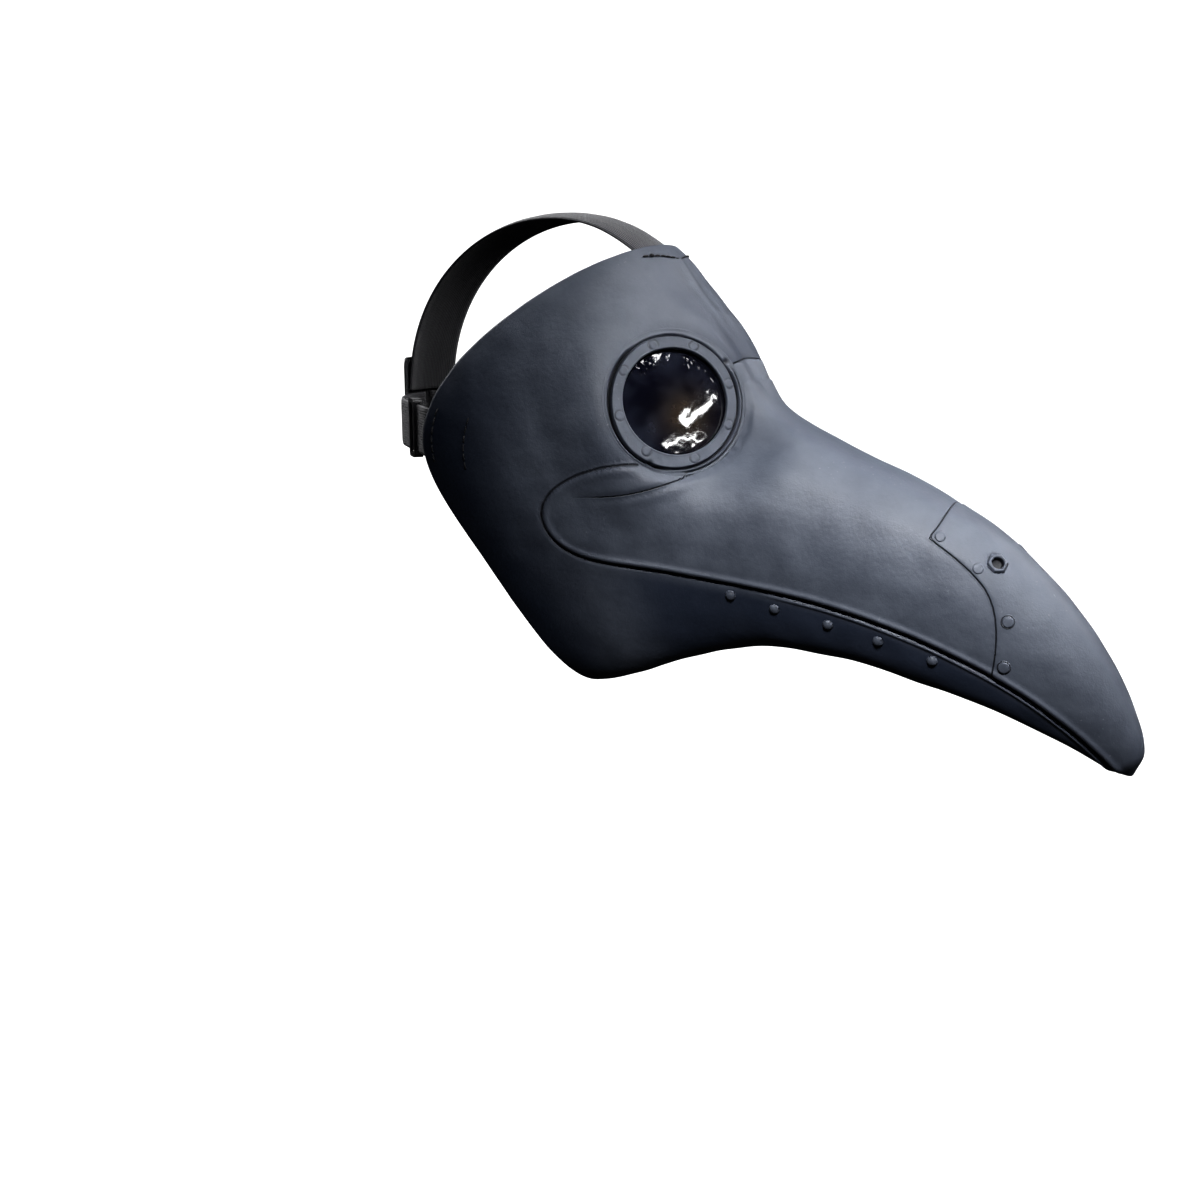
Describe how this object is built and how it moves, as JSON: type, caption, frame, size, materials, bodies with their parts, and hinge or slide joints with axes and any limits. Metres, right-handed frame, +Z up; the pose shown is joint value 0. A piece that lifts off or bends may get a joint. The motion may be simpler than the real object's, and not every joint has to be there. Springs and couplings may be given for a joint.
{
  "type": "plague doctor mask",
  "caption": "Moulded latex bird-beak mask with film lenses behind round goggle rims, worn on the head with an elastic crown strap and adjustable side straps.",
  "frame": {"origin": "centre of the wearer's head at eye height, in the middle between the temples", "axes": "+Z up, -Y the way the beak points, +X to the wearer's left"},
  "size_m": [0.1722, 0.4063, 0.2548],
  "materials": {
    "latex": "matte charcoal moulded latex",
    "lens_film": "shiny wrinkled dark amber film",
    "glue_bead": "satin adhesive bead",
    "lining": "plain woven lining",
    "thread": "polyester sewing thread",
    "elastic": "woven elastic band",
    "slider_plastic": "moulded satin plastic",
    "webbing_patch": "folded webbing"
  },
  "bodies": {
    "mask": {"mask_shell": "latex", "right_lens": "lens_film", "left_lens": "lens_film", "right_lens_bead": "glue_bead", "left_lens_bead": "glue_bead", "forehead_patch": "lining", "right_temple_patch": "lining", "left_temple_patch": "lining", "forehead_stitching": "thread", "right_temple_stitching": "thread", "left_temple_stitching": "thread", "top_strap": "elastic", "right_side_strap": "elastic", "left_side_strap": "elastic"},
    "rear_band": {"rear_patch": "webbing_patch", "rear_stitching": "thread"},
    "right_slider": {"right_slider": "slider_plastic"},
    "left_slider": {"left_slider": "slider_plastic"}
  },
  "joints": [
    {"name": "harness_stretch", "type": "slide", "parent": "mask", "child": "rear_band", "axis": [0, 1, 0], "range_m": [0, 0.04], "stiffness_N_per_m": 60, "deforming": ["top_strap", "right_side_strap", "left_side_strap"]},
    {"name": "right_slider_slide", "type": "slide", "parent": "mask", "child": "right_slider", "axis": [0.6247, 0.7809, 0], "range_m": [-0.006, 0.006]},
    {"name": "left_slider_slide", "type": "slide", "parent": "mask", "child": "left_slider", "axis": [-0.6247, 0.7809, 0], "range_m": [-0.006, 0.006]}
  ]
}
